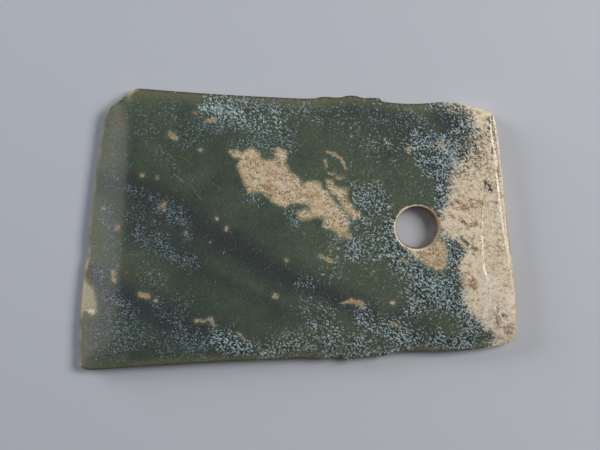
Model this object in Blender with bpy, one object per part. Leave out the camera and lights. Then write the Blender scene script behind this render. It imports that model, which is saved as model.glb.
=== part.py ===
"""A perforated stone axe blade, ground thin from jadeite, lying flat on one face.

The cutting edge is at -X and the butt at +X. The underside is at z = 0, and the origin is below the
middle of the blade. Lengths are in metres.
"""

import math

import bmesh
import bpy
from mathutils import Matrix, Vector

# The blade before it was damaged
BLADE_LENGTH = 0.1645  # from the middle of the cutting edge to the middle of the butt
EDGE_WIDTH = 0.1138  # corner to corner along the cutting edge
BUTT_WIDTH = 0.0946  # corner to corner along the butt
EDGE_SLANT = math.radians(5.65)  # the cutting edge leans towards the butt as it goes up
BUTT_SLANT = math.radians(-6.2)  # the butt leans back towards the cutting edge
BUTT_RISE = 0.002  # the middle of the butt lies this much higher than the middle of the edge
THICKNESS = 0.0065

# How far each side bulges out of the straight line between its corners
EDGE_BOW = 0.001
BUTT_BOW = 0.0018
UPPER_SIDE_BOW = 0.0008
LOWER_SIDE_BOW = 0.0016

# The ground section: how wide each slope is, and how thick the stone is left at its foot
BEVEL_LOW_WIDTH = 0.0146  # at the lower corner
BEVEL_HIGH_WIDTH = 0.0092  # at the upper corner
BEVEL_SWELL = 0.0022  # how much wider the bevel is half way between them
EDGE_THICKNESS = 0.0005
UPPER_SLOPE_WIDTH = 0.014
UPPER_SIDE_THICKNESS = 0.0018
LOWER_SLOPE_WIDTH = 0.010
LOWER_SIDE_THICKNESS = 0.0022
BUTT_FACET_WIDTH = 0.0028  # at the upper corner, from where it narrows
BUTT_FACET_END_WIDTH = 0.001  # at the lower corner
BUTT_THICKNESS = 0.003
BEVEL_FULLNESS = 1.25  # 1 is a flat slope, and more is a slope that rounds into the face
SIDE_FULLNESS = 2.0
FACET_FULLNESS = 1.8
CORNER_BLEND = 3.0  # how squarely two slopes meet at a corner

# The hole, drilled mostly from the upper face, with a step where the drill was changed
HOLE_FROM_BUTT = 0.0347
HOLE_OFF_MIDDLE = -0.0016
HOLE_MOUTH_RADIUS = 0.00864
HOLE_STEP_RADIUS = 0.00815
HOLE_LEDGE = 0.0002  # how far the step juts into the hole
HOLE_WAIST_RADIUS = 0.0076
HOLE_FOOT_RADIUS = 0.0082
HOLE_WAIST_HEIGHT = 0.0012  # above the underside
HOLE_STEP_RISE = 0.0017  # above the waist
HOLE_SIDES = 48

# The broken upper corner, measured from where the whole corner would be
BREAK_ALONG_EDGE = 0.0098
BREAK_INSET = 0.001  # how far the worn edge lies inside the whole one where the break begins
BREAK_ALONG_SIDE = 0.0116

# Wear along each side as (share of the side, how far the stone stands out of the straight line)
# The cutting edge has one nick near its middle and a shallow one near its lower corner
EDGE_WEAR = (
    (0.016, -0.0004), (0.035, 0.0001), (0.074, -0.0001), (0.096, 0.0006), (0.154, 0.0011),
    (0.19, 0.0014), (0.385, 0.0017), (0.42, 0.0015), (0.437, 0.0006), (0.463, 0.001),
    (0.474, 0.0015), (0.58, 0.0017), (0.70, 0.0014), (0.765, 0.0013), (0.823, 0.001),
    (0.93, 0.0008), (0.974, 0.0005),
)
# The break runs from the cutting edge to the upper side in a ragged slant
BREAK_WEAR = (
    (0.06, 0.0001), (0.19, 0.0004), (0.31, 0.0), (0.47, -0.0003), (0.72, -0.0001), (0.80, -0.00055),
)
# The upper side is worn hollow, with a thin tongue of the old side left past its middle
UPPER_SIDE_WEAR = (
    (0.014, 0.0001), (0.10, -0.0003), (0.18, -0.0006), (0.30, -0.0008), (0.464, -0.0008),
    (0.512, -0.0004), (0.52, 0.0003), (0.543, 0.0006), (0.554, 0.0003), (0.582, 0.0006),
    (0.593, 0.0014), (0.621, 0.0016), (0.633, 0.0008), (0.65, 0.0008), (0.688, 0.0011),
    (0.692, -0.0002), (0.718, -0.0007), (0.76, -0.0008), (0.80, -0.0005), (0.838, 0.0002),
    (0.87, 0.0008), (0.89, 0.0007), (0.92, 0.0002), (0.948, -0.0007), (0.971, -0.0014),
    (0.99, -0.0017),
)
# The butt is sound, with its two corners worn round
BUTT_WEAR = (
    (0.025, -0.0001), (0.048, 0.0009), (0.087, 0.0013), (0.14, 0.0016), (0.21, 0.0015),
    (0.44, 0.0014), (0.55, 0.0014), (0.64, 0.0017), (0.69, 0.0019), (0.78, 0.0017),
    (0.83, 0.0015), (0.95, 0.0004), (0.985, -0.0003),
)
# The lower side is full by the butt, has two long chips, and is worn straight towards the edge
LOWER_SIDE_WEAR = (
    (0.013, 0.0004), (0.037, 0.001), (0.06, 0.0016), (0.085, 0.0019), (0.12, 0.0022),
    (0.15, 0.0023), (0.20, 0.0017), (0.255, 0.001), (0.275, 0.0011), (0.293, 0.0015),
    (0.30, 0.0024), (0.325, 0.0023), (0.357, 0.0023), (0.373, 0.003), (0.389, 0.0029),
    (0.398, 0.0018), (0.43, 0.0021), (0.448, 0.0019), (0.47, 0.0012), (0.52, 0.0009),
    (0.61, 0.0005), (0.70, 0.0002), (0.87, 0.0001), (0.94, 0.0003), (0.97, 0.0003),
    (0.985, -0.0001),
)

# How finely the ground surface is laid out
BEVEL_STEPS = 6
SIDE_STEPS = 6
FACET_STEPS = 4
LAND_STEPS_ALONG = 9
LAND_STEPS_ACROSS = 6
BLANK_MARGIN = 0.003  # spare stone round the blank, which the outline then trims away
CUT_CLEARANCE = 0.002  # how far each cutter runs past the faces

STONE_COLOUR = (0.055, 0.070, 0.051, 1.0)
STONE_ROUGHNESS = 0.34
STONE_METALLIC = 0.0
SMOOTH_ANGLE = math.radians(25)


def clear_scene():
    for thing in list(bpy.data.objects):
        bpy.data.objects.remove(thing, do_unlink=True)


def whole_corners():
    """The four corners that the blade had before it was damaged."""
    edge_middle = Vector((-BLADE_LENGTH / 2, -BUTT_RISE / 2))
    butt_middle = Vector((BLADE_LENGTH / 2, BUTT_RISE / 2))
    edge_half = Vector((math.sin(EDGE_SLANT), math.cos(EDGE_SLANT))) * EDGE_WIDTH / 2
    butt_half = Vector((math.sin(BUTT_SLANT), math.cos(BUTT_SLANT))) * BUTT_WIDTH / 2
    return {
        "edge low": edge_middle - edge_half,
        "edge high": edge_middle + edge_half,
        "butt high": butt_middle + butt_half,
        "butt low": butt_middle - butt_half,
    }


def left_of(direction):
    """The unit vector a quarter turn to the left, which points out of a side walked clockwise."""
    return Vector((-direction.y, direction.x)).normalized()


def worn_run(start, end, wear):
    """The worn points of one side, from start towards end, going clockwise round the blade."""
    along = end - start
    return [start + along * share + left_of(along) * stands_out for share, stands_out in wear]


def outline_points():
    """The outline as it is now, clockwise from the lower end of the cutting edge."""
    corner = whole_corners()
    edge = corner["edge high"] - corner["edge low"]
    upper_side = corner["butt high"] - corner["edge high"]
    break_low = corner["edge high"] - edge.normalized() * BREAK_ALONG_EDGE
    break_low -= left_of(edge) * BREAK_INSET
    break_high = corner["edge high"] + upper_side.normalized() * BREAK_ALONG_SIDE
    points = worn_run(corner["edge low"], break_low, EDGE_WEAR)
    points += [break_low] + worn_run(break_low, break_high, BREAK_WEAR)
    points += [break_high] + worn_run(break_high, corner["butt high"], UPPER_SIDE_WEAR)
    points += worn_run(corner["butt high"], corner["butt low"], BUTT_WEAR)
    points += worn_run(corner["butt low"], corner["edge low"], LOWER_SIDE_WEAR)
    return points


def middle_of(points):
    """The middle of the box that the points fill."""
    across = [point.x for point in points]
    up = [point.y for point in points]
    return Vector(((min(across) + max(across)) / 2, (min(up) + max(up)) / 2))


def bulge(share):
    """How much of a side's bow is reached at this share of the side."""
    inside = min(max(share, 0.0), 1.0)
    return 4 * inside * (1 - inside)


def stations(length, near_width, near_steps, far_width, far_steps, land_steps):
    """Distances along a line across the blank: margin, slope, land, slope and margin."""
    near = [near_width * step / near_steps for step in range(near_steps + 1)]
    far = [length - far_width * step / far_steps for step in range(far_steps, -1, -1)]
    land = far[0] - near[-1]
    middle = [near[-1] + land * step / land_steps for step in range(1, land_steps)]
    return [-BLANK_MARGIN] + near + middle + far + [length + BLANK_MARGIN]


def drops(near_drop, near_steps, near_fullness, far_drop, far_steps, far_fullness, land_steps):
    """How far each face lies below its land at each of those stations."""
    near = [near_drop * (1 - step / near_steps) ** near_fullness for step in range(near_steps + 1)]
    far = [far_drop * (step / far_steps) ** far_fullness for step in range(far_steps + 1)]
    return [near_drop] + near + [0.0] * (land_steps - 1) + far + [far_drop]


def drop_to(foot_thickness):
    """How far one face drops from the land to the foot of a slope."""
    return (THICKNESS - foot_thickness) / 2


def blank_rows():
    """The upper face of the ground blank, as rows of points from the lower side to the upper one."""
    corner = whole_corners()
    edge = corner["edge high"] - corner["edge low"]
    butt = corner["butt high"] - corner["butt low"]
    across = (LOWER_SLOPE_WIDTH, SIDE_STEPS, UPPER_SLOPE_WIDTH, SIDE_STEPS, LAND_STEPS_ACROSS)
    edge_places = stations(EDGE_WIDTH, *across)
    butt_places = stations(BUTT_WIDTH, *across)
    row_drops = drops(
        drop_to(LOWER_SIDE_THICKNESS), SIDE_STEPS, SIDE_FULLNESS,
        drop_to(UPPER_SIDE_THICKNESS), SIDE_STEPS, SIDE_FULLNESS, LAND_STEPS_ACROSS,
    )
    column_drops = drops(
        drop_to(EDGE_THICKNESS), BEVEL_STEPS, BEVEL_FULLNESS,
        drop_to(BUTT_THICKNESS), FACET_STEPS, FACET_FULLNESS, LAND_STEPS_ALONG,
    )
    rows = []
    for edge_place, butt_place, row_drop in zip(edge_places, butt_places, row_drops):
        up = edge_place / EDGE_WIDTH
        start = corner["edge low"] + edge.normalized() * edge_place
        start += left_of(edge) * EDGE_BOW * bulge(up)
        end = corner["butt low"] + butt.normalized() * butt_place
        end -= left_of(butt) * BUTT_BOW * bulge(up)
        rows.append(blank_row(start, end, up, row_drop, column_drops))
    return rows


def between(low, high, share):
    """The value at this share of the way up from low to high, held level past both ends."""
    return low + (high - low) * min(max(share, 0.0), 1.0)


def blank_row(start, end, up, row_drop, column_drops):
    """One row of the blank, from the cutting edge to the butt, bowed with the side that it is near."""
    length = (end - start).length
    bevel_width = between(BEVEL_LOW_WIDTH, BEVEL_HIGH_WIDTH, up) + BEVEL_SWELL * bulge(up)
    facet_width = between(BUTT_FACET_END_WIDTH, BUTT_FACET_WIDTH, up)
    places = stations(length, bevel_width, BEVEL_STEPS, facet_width, FACET_STEPS, LAND_STEPS_ALONG)
    side_bow = UPPER_SIDE_BOW * up - LOWER_SIDE_BOW * (1 - up)
    deepest = drop_to(EDGE_THICKNESS)
    row = []
    for place, column_drop in zip(places, column_drops):
        point = start + (end - start) * (place / length)
        point.y += side_bow * bulge(place / length)
        drop = (row_drop ** CORNER_BLEND + column_drop ** CORNER_BLEND) ** (1 / CORNER_BLEND)
        row.append(Vector((point.x, point.y, THICKNESS - min(drop, deepest))))
    return row


def stone_material():
    stone = bpy.data.materials.new("jadeite")
    stone.use_nodes = True
    surface = stone.node_tree.nodes["Principled BSDF"]
    surface.inputs["Base Color"].default_value = STONE_COLOUR
    surface.inputs["Roughness"].default_value = STONE_ROUGHNESS
    surface.inputs["Metallic"].default_value = STONE_METALLIC
    stone.diffuse_color = STONE_COLOUR
    return stone


def add_object(name, shape, material=None):
    """Turns a bmesh into an object of the scene, with its faces pointing out."""
    bmesh.ops.recalc_face_normals(shape, faces=shape.faces)
    mesh = bpy.data.meshes.new(name)
    shape.to_mesh(mesh)
    shape.free()
    mesh.shade_smooth()
    mesh.set_sharp_from_angle(angle=SMOOTH_ANGLE)
    if material:
        mesh.materials.append(material)
    thing = bpy.data.objects.new(name, mesh)
    bpy.context.scene.collection.objects.link(thing)
    return thing


def cut_with(blade, cutter, operation):
    """Adds a Boolean to the blade and marks its cutter as a guide."""
    cutter.hide_render = True
    cutter.display_type = "WIRE"
    cut = blade.modifiers.new(cutter.name, "BOOLEAN")
    cut.operation = operation
    cut.solver = "EXACT"
    cut.object = cutter


def make_blank(middle, material):
    """The ground stone before wear and drilling: two like faces back to back, joined by thin walls."""
    shape = bmesh.new()
    rows = [[shape.verts.new(point) for point in row] for row in blank_rows()]
    for lower, upper in zip(rows, rows[1:]):
        for column in range(len(lower) - 1):
            shape.faces.new((lower[column], lower[column + 1], upper[column + 1], upper[column]))
    underside = bmesh.ops.extrude_face_region(shape, geom=shape.faces[:])["geom"]
    for corner in underside:
        if isinstance(corner, bmesh.types.BMVert):
            corner.co.z = THICKNESS - corner.co.z
    shape.transform(Matrix.Translation((-middle.x, -middle.y, 0)))
    return add_object("axe_head", shape, material)


def make_outline_cutter(points, middle):
    """A plate in the shape of the worn outline, which trims the blank."""
    shape = bmesh.new()
    foot = [shape.verts.new((point.x - middle.x, point.y - middle.y, -CUT_CLEARANCE)) for point in points]
    plate = bmesh.ops.extrude_face_region(shape, geom=[shape.faces.new(foot)])["geom"]
    raised = [part for part in plate if isinstance(part, bmesh.types.BMVert)]
    bmesh.ops.translate(shape, vec=(0, 0, THICKNESS + 2 * CUT_CLEARANCE), verts=raised)
    return add_object("worn outline", shape)


def make_hole_cutter(middle):
    """The drill's path: a cone from above with a step in it, a waist, and a short cone from below."""
    step_height = HOLE_WAIST_HEIGHT + HOLE_STEP_RISE
    upper_flare = (HOLE_MOUTH_RADIUS - HOLE_STEP_RADIUS) / (THICKNESS - step_height)
    lower_flare = (HOLE_FOOT_RADIUS - HOLE_WAIST_RADIUS) / HOLE_WAIST_HEIGHT
    profile = (
        (0.0, -CUT_CLEARANCE),
        (HOLE_FOOT_RADIUS + lower_flare * CUT_CLEARANCE, -CUT_CLEARANCE),
        (HOLE_WAIST_RADIUS, HOLE_WAIST_HEIGHT),
        (HOLE_STEP_RADIUS - HOLE_LEDGE, step_height),
        (HOLE_STEP_RADIUS, step_height),
        (HOLE_MOUTH_RADIUS + upper_flare * CUT_CLEARANCE, THICKNESS + CUT_CLEARANCE),
        (0.0, THICKNESS + CUT_CLEARANCE),
    )
    shape = bmesh.new()
    ring = [shape.verts.new((radius, 0, height)) for radius, height in profile]
    edges = [shape.edges.new(pair) for pair in zip(ring, ring[1:])]
    bmesh.ops.spin(
        shape, geom=ring + edges, axis=(0, 0, 1), cent=(0, 0, 0),
        angle=2 * math.pi, steps=HOLE_SIDES, use_merge=True,
    )
    bmesh.ops.remove_doubles(shape, verts=shape.verts, dist=0.00001)
    centre = Vector((BLADE_LENGTH / 2 - HOLE_FROM_BUTT, BUTT_RISE / 2 + HOLE_OFF_MIDDLE)) - middle
    shape.transform(Matrix.Translation((centre.x, centre.y, 0)))
    return add_object("drilled hole", shape)


def make_axe_head():
    points = outline_points()
    middle = middle_of(points)
    blade = make_blank(middle, stone_material())
    cut_with(blade, make_outline_cutter(points, middle), "INTERSECT")
    cut_with(blade, make_hole_cutter(middle), "DIFFERENCE")
    return blade


clear_scene()
make_axe_head()
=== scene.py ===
import math

import bmesh
import bpy
import numpy as np
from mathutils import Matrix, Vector, kdtree, noise
from mathutils.bvhtree import BVHTree
from mathutils.geometry import delaunay_2d_cdt


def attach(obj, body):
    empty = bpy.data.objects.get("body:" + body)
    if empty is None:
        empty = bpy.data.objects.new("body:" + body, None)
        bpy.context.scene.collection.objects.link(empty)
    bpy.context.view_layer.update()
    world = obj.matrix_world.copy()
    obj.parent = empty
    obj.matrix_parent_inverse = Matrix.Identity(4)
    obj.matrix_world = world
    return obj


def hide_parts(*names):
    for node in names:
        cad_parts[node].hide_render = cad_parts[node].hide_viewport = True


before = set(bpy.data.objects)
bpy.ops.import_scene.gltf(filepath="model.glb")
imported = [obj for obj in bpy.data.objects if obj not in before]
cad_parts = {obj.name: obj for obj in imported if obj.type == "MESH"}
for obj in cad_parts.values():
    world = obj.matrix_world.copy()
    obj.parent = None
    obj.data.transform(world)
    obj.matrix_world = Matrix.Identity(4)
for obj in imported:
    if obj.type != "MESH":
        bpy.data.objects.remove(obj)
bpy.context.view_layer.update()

# The rim of the blade
# The blade is one thin plate of hard green stone, sawn out and then ground on all sides. Its outline
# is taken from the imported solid, worn a little, and left ragged where the edges are broken or nicked.

MM = 0.001
RIM_STEP = 0.45 * MM
RIM_ROUND = 0.24 * MM
RIM_SMOOTHING = 3
RIM_WEAR = 0.05 * MM
RIM_BREAKAGE = 0.34 * MM
WEAR_LUMP = 1.6 * MM
BREAK_LUMP = 1.3 * MM
SPLINTER_LUMP = 0.6 * MM
WALL_LEAN = 0.3
HOLE_CENTRE = np.array((47.706, 0.661)) * MM
HOLE_CLEAR = 12 * MM
RAGGED_PLACES = [
    (-70, 54, 5), (-74, 50, 5), (-77, 47, 3), (-84, -6, 3), (-84.5, -12, 4), (-86, -34, 3),
    (11, 53, 4), (16, 52.5, 3), (21, 54, 4), (30, 52, 5), (8, -51, 4), (16, -51, 4), (23, -51, 4),
    (31, -49, 5), (-86, -54, 3), (74, 49, 2.5), (86, -44, 2.5),
]

form = bmesh.new()
form.from_mesh(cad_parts["axe_head"].data)
bmesh.ops.remove_doubles(form, verts=form.verts, dist=1e-6)
form.normal_update()
form_surface = BVHTree.FromBMesh(form)


def top_rim(solid):
    """The line round the blade where its upper face meets its outer wall."""
    neighbours = {}
    for edge in solid.edges:
        if len(edge.link_faces) != 2:
            continue
        walls = [face for face in edge.link_faces if abs(face.normal.z) < WALL_LEAN]
        faces = [face for face in edge.link_faces if face.normal.z >= WALL_LEAN]
        middle = np.array((edge.verts[0].co + edge.verts[1].co).xy) / 2
        if len(walls) == 1 and len(faces) == 1 and np.hypot(*(middle - HOLE_CENTRE)) > HOLE_CLEAR:
            first, second = edge.verts
            neighbours.setdefault(first, []).append(second)
            neighbours.setdefault(second, []).append(first)
    start = max(neighbours, key=lambda vert: vert.co.y)
    line, before, here = [], None, start
    while True:
        line.append(here.co.xy[:])
        onward = [vert for vert in neighbours[here] if vert is not before]
        before, here = here, onward[0]
        if here is start:
            return np.array(line)


def evenly_spaced(line, step):
    """Points at even steps round a closed line, counterclockwise."""
    closed = np.vstack([line, line[:1]])
    along = np.concatenate([[0], np.cumsum(np.hypot(*np.diff(closed, axis=0).T))])
    count = int(round(along[-1] / step))
    places = np.arange(count) * along[-1] / count
    points = np.column_stack([np.interp(places, along, closed[:, axis]) for axis in (0, 1)])
    x, y = points.T
    area = (x * np.roll(y, -1) - np.roll(x, -1) * y).sum()
    return points if area > 0 else points[::-1]


def softened(points, passes):
    """A closed line, evened out by moving each point towards its neighbours."""
    for _ in range(passes):
        points = (np.roll(points, 1, 0) + 2 * points + np.roll(points, -1, 0)) / 4
    return points


def outward(points):
    """The way out of the blade at each point of a line round it."""
    ahead = np.roll(points, -1, 0) - np.roll(points, 1, 0)
    across = np.column_stack([ahead[:, 1], -ahead[:, 0]])
    return across / np.hypot(*across.T)[:, None]


def grain(points, size, seed=0.0):
    """Smooth noise between about -1 and 1, with lumps of the given size."""
    return np.array([noise.noise(Vector((x / size, y / size, seed))) for x, y in points])


def near_places(points, places):
    """1 at the middle of each place (x, y and radius in mm), falling to 0 at its radius."""
    share = np.zeros(len(points))
    for x, y, radius in places:
        away = np.hypot(points[:, 0] - x * MM, points[:, 1] - y * MM) / (radius * MM)
        share = np.maximum(share, np.clip(1.6 * (1 - away), 0, 1))
    return share


rim = softened(evenly_spaced(top_rim(form), RIM_STEP), RIM_SMOOTHING)
ragged = near_places(rim, RAGGED_PLACES)
splinters = 0.25 + 0.6 * grain(rim, BREAK_LUMP, 4.0) + 0.5 * grain(rim, SPLINTER_LUMP, 9.0)
bite = RIM_WEAR * (0.5 + 0.5 * grain(rim, WEAR_LUMP))
bite = bite + RIM_BREAKAGE * ragged * np.clip(splinters, 0, 1)
rim = rim - outward(rim) * bite[:, None]
rim = softened(rim, 1)
rim_facing = outward(softened(rim, 2))
face_edge = rim - rim_facing * RIM_ROUND

# The faces of the blade
# Both faces are flat in the middle and ground away towards the edges: a wide even bevel makes the
# cutting edge, and low slopes run along the sides. A fine even mesh carries the polish and the chips.

UPPER_STEP = 0.60 * MM
UNDER_STEP = 1.25 * MM
BUTT_STEP = 0.30 * MM
BUTT_STRIP = 9.5 * MM
BUTT_FROM = 64 * MM
STRIP_FROM = 69 * MM
EDGE_GAP = 0.62
HOLE_TURNS = 200
HOLE_WOBBLE = 0.05 * MM
HOLE_LEAN = np.array((-0.22, 0.05)) * MM
FULL_THICKNESS = 6.5 * MM
HOLE_PROFILE = [
    (8.86, 6.50), (8.74, 6.46), (8.65, 6.33), (8.56, 5.50), (8.46, 4.60), (8.36, 3.75), (8.30, 3.08),
    (8.24, 2.95), (8.12, 2.88), (8.05, 2.74), (7.98, 2.05), (7.92, 1.40), (7.90, 1.20), (7.92, 1.02),
    (8.00, 0.60), (8.14, 0.22), (8.24, 0.05), (8.40, 0.00),
]
FAR_ABOVE = 0.05
WALL_TURNS = [66, 44, 22, 0, -22, -44, -66]
WALL_SQUARENESS = 0.9
SQUAREST = 0.25
WALL_CREST = 0.8


def surface_height(points, side):
    """The height of the solid's upper (1) or under (-1) face above each point."""
    heights = []
    for x, y in points:
        hit = form_surface.ray_cast(Vector((x, y, side * FAR_ABOVE)), Vector((0, 0, -side)))[0]
        if hit is None:
            hit = form_surface.find_nearest(Vector((x, y, FULL_THICKNESS * (side > 0))))[0]
        heights.append(hit.z)
    return np.array(heights)


def ring(radius, height):
    """Points round the hole at a radius and height in mm, a little uneven as drilling leaves them."""
    lean = HOLE_LEAN * (1 - height * MM / FULL_THICKNESS)
    turn = np.arange(HOLE_TURNS) * 2 * math.pi / HOLE_TURNS
    circle = np.column_stack([np.cos(turn), np.sin(turn)])
    wobble = HOLE_WOBBLE * np.array([noise.noise(Vector((2 * x, 2 * y, 3.0))) for x, y in circle])
    return HOLE_CENTRE + lean + (radius * MM + wobble)[:, None] * circle


def rows_of_points(low, high, step):
    """Points in staggered rows, so that their triangles are even."""
    rise = step * math.sqrt(0.75)
    rows = []
    for number, y in enumerate(np.arange(low[1], high[1], rise)):
        x = np.arange(low[0] + step / 2 * (number % 2), high[0], step)
        rows.append(np.column_stack([x, np.full(len(x), y)]))
    return np.vstack(rows)


def points_on_face(step, hole_radius):
    """Points over the blade's face, closer together along the butt, clear of its rim and hole."""
    low, high = rim.min(0), rim.max(0)
    wide = rows_of_points(low, high, step)
    close = rows_of_points(np.array((BUTT_FROM, low[1])), high, BUTT_STEP if step < MM else step)
    tree = kdtree.KDTree(len(face_edge))
    for number, (x, y) in enumerate(face_edge):
        tree.insert((x, y, 0), number)
    tree.balance()
    kept = []
    for points, is_close in ((wide, False), (close, True)):
        for x, y in points:
            if math.hypot(x - HOLE_CENTRE[0], y - HOLE_CENTRE[1]) < hole_radius * MM + EDGE_GAP * step:
                continue
            _, number, away = tree.find((x, y, 0))
            in_strip = face_edge[number][0] > STRIP_FROM and away < BUTT_STRIP
            gap = BUTT_STEP if in_strip and step < MM else step
            if in_strip != is_close or away < EDGE_GAP * gap:
                continue
            if rim_facing[number] @ (np.array((x, y)) - face_edge[number]) < 0:
                kept.append((x, y))
    return np.array(kept)


def face_mesh(step, hole_radius, hole_height):
    """The flat triangles of one face, with its rim and hole as their borders."""
    hole = ring(hole_radius, hole_height)
    inner = points_on_face(step, hole_radius)
    points = np.vstack([face_edge, hole, inner])
    rim_numbers = np.arange(len(face_edge))
    hole_numbers = len(face_edge) + np.arange(len(hole))
    borders = [np.column_stack([row, np.roll(row, -1)]) for row in (rim_numbers, hole_numbers)]
    done = delaunay_2d_cdt([Vector(p) for p in points], np.vstack(borders).tolist(), [], 1, 1e-8)
    numbers = np.array([ids[0] for ids in done[3]])
    triangles = numbers[np.array(done[2])]
    in_hole = ((triangles >= hole_numbers[0]) & (triangles <= hole_numbers[-1])).all(1)
    return points, triangles[~in_hole]


upper, upper_triangles = face_mesh(UPPER_STEP, *HOLE_PROFILE[0])
under, under_triangles = face_mesh(UNDER_STEP, *HOLE_PROFILE[-1])
upper_height = surface_height(upper, 1)
under_height = surface_height(under, -1)

rim_count = len(rim)
rim_top = upper_height[:rim_count]
rim_foot = under_height[:rim_count]
middle_height = (rim_top + rim_foot) / 2
half_height = (rim_top - rim_foot) / 2

corners = [np.column_stack([upper, upper_height]), np.column_stack([under, under_height])]
for turn in WALL_TURNS:
    angle = math.radians(turn)
    squareness = np.clip(WALL_SQUARENESS * RIM_ROUND / half_height, SQUAREST, 1)
    out = RIM_ROUND * math.cos(angle) ** squareness
    up = half_height * math.copysign(abs(math.sin(angle)) ** WALL_CREST, angle)
    wall = face_edge + rim_facing * np.reshape(out, (-1, 1))
    corners.append(np.column_stack([wall, middle_height + up]))
for radius, height in HOLE_PROFILE[1:-1]:
    corners.append(np.column_stack([ring(radius, height), np.full(HOLE_TURNS, height * MM)]))

starts = np.cumsum([0] + [len(part) for part in corners])
triangles = [upper_triangles, under_triangles[:, ::-1] + starts[1]]


def band(upper_row, lower_row):
    """Two triangles between each pair of neighbours in two closed rows of points."""
    upper_next, lower_next = np.roll(upper_row, -1), np.roll(lower_row, -1)
    return [
        np.column_stack([upper_row, lower_row, lower_next]),
        np.column_stack([upper_row, lower_next, upper_next]),
    ]


around = np.arange(rim_count)
wall_rows = [around] + [starts[2 + k] + around for k in range(len(WALL_TURNS))] + [starts[1] + around]
for row in range(len(wall_rows) - 1):
    triangles += band(wall_rows[row], wall_rows[row + 1])
turn_numbers = np.arange(HOLE_TURNS)
hole_rows = [rim_count + turn_numbers]
for k in range(len(HOLE_PROFILE) - 2):
    hole_rows.append(starts[2 + len(WALL_TURNS) + k] + turn_numbers)
hole_rows.append(starts[1] + rim_count + turn_numbers)
for row in range(len(hole_rows) - 1):
    triangles += band(hole_rows[row + 1], hole_rows[row])

corners = np.vstack(corners)
triangles = np.vstack(triangles)
blade_mesh = bpy.data.meshes.new("axe_head_stone")
blade_mesh.from_pydata(corners.tolist(), [], triangles.tolist())
blade = bpy.data.objects.new("axe_head_stone", blade_mesh)
bpy.context.scene.collection.objects.link(blade)
place = corners[:, :2] / MM

# The butt's ridges
# The end of the butt was sawn in two cuts that did not quite meet, so a shallow cove runs along it
# between two ridges that catch the light. A third low step lies further in, over the weathered stone.

INNER_RIDGE = [
    (75.4, 48.6), (76.1, 45.1), (76.9, 41.3), (77.5, 36.9), (78.3, 29.3), (78.9, 22.9), (79.5, 17.7),
    (80.5, 9.7), (81.5, 1.7), (83.1, -6.3), (84.3, -12.3), (85.5, -19.5), (85.9, -21.9), (86.6, -30),
    (86.9, -38.3), (86.6, -44),
]
COVE_SHARE = (-0.25, 0, 0.12, 0.20, 0.30, 0.45, 0.60, 0.69, 0.77, 0.87, 1.0)
COVE_DROP = (0, 0.03, 0.17, 0.31, 0.39, 0.42, 0.40, 0.43, 0.54, 0.92, 1.75)
LOW_STEP = [
    (75.9, 20), (75.7, 17.7), (75.3, 13.7), (74.5, 9.7), (73.9, 5.7), (73.5, -2.3), (73.9, -8.3),
    (74.1, -14.3), (75.1, -18),
]
LOW_STEP_DROP = 0.34
LOW_STEP_WIDTH = 0.6
LOW_STEP_FULL = 1.5
LOW_STEP_FADE = 5.0
RIDGE_LEAD = -1.0
BUTT_BEGINS = 70


def beside(points, line):
    """How far to the right of a line, read downwards, each point lies, and its distance from the line."""
    nearest = np.full(len(points), np.inf)
    right = np.zeros(len(points))
    for (x0, y0), (x1, y1) in zip(line[:-1], line[1:]):
        run = np.array((x1 - x0, y1 - y0))
        from_start = points - (x0, y0)
        share = np.clip(from_start @ run / (run @ run), 0, 1)
        away = np.hypot(*(from_start - share[:, None] * run).T)
        turn = run[1] * from_start[:, 0] - run[0] * from_start[:, 1]
        closer = away < nearest
        nearest = np.where(closer, away, nearest)
        right = np.where(closer, -np.sign(turn) * away, right)
    return right, nearest


def eased(share):
    """A share from 0 to 1 with a soft start and a soft end."""
    share = np.clip(share, 0, 1)
    return share * share * (3 - 2 * share)


upper_count = len(upper)
rim_tree = kdtree.KDTree(rim_count)
for number, (x, y) in enumerate(face_edge / MM):
    rim_tree.insert((x, y, 0), number)
rim_tree.balance()
from_rim = np.array([rim_tree.find((x, y, 0))[2] for x, y in place])
ridge_side = beside(place, INNER_RIDGE)[0]
cove_share = ridge_side / (np.abs(ridge_side) + from_rim + 1e-6)
cove_drop = np.interp(cove_share, COVE_SHARE, COVE_DROP) * MM
on_upper = np.arange(len(place)) < upper_count
near_butt = on_upper & (ridge_side > RIDGE_LEAD) & (place[:, 0] > BUTT_BEGINS)
flat_top = corners[:upper_count, 2].max()
height = corners[:, 2].copy()
height[near_butt] = np.minimum(height[near_butt], (flat_top - cove_drop)[near_butt])
step_side, step_away = beside(place, LOW_STEP)
step_share = eased(step_side / LOW_STEP_WIDTH + 0.5)
step_share = step_share * eased(1 - (step_away - LOW_STEP_FULL) / LOW_STEP_FADE)
height = height - on_upper * LOW_STEP_DROP * MM * step_share * (step_side > RIDGE_LEAD)

blade_mesh.vertices.foreach_set("co", np.column_stack([corners[:, :2], height]).ravel())
blade_mesh.update()
blade_mesh.polygons.foreach_set("use_smooth", [True] * len(blade_mesh.polygons))

# The figure of the stone
# Dark bands slant through the green stone, and pale flecks lie over it in clouds. Where the blade lay
# damp in the ground the stone has weathered to cream: a patch in the middle and the whole of the butt.
# Places are in millimetres from the blade's middle. A cloud is its strength and a line of x, y, radius.

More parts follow.
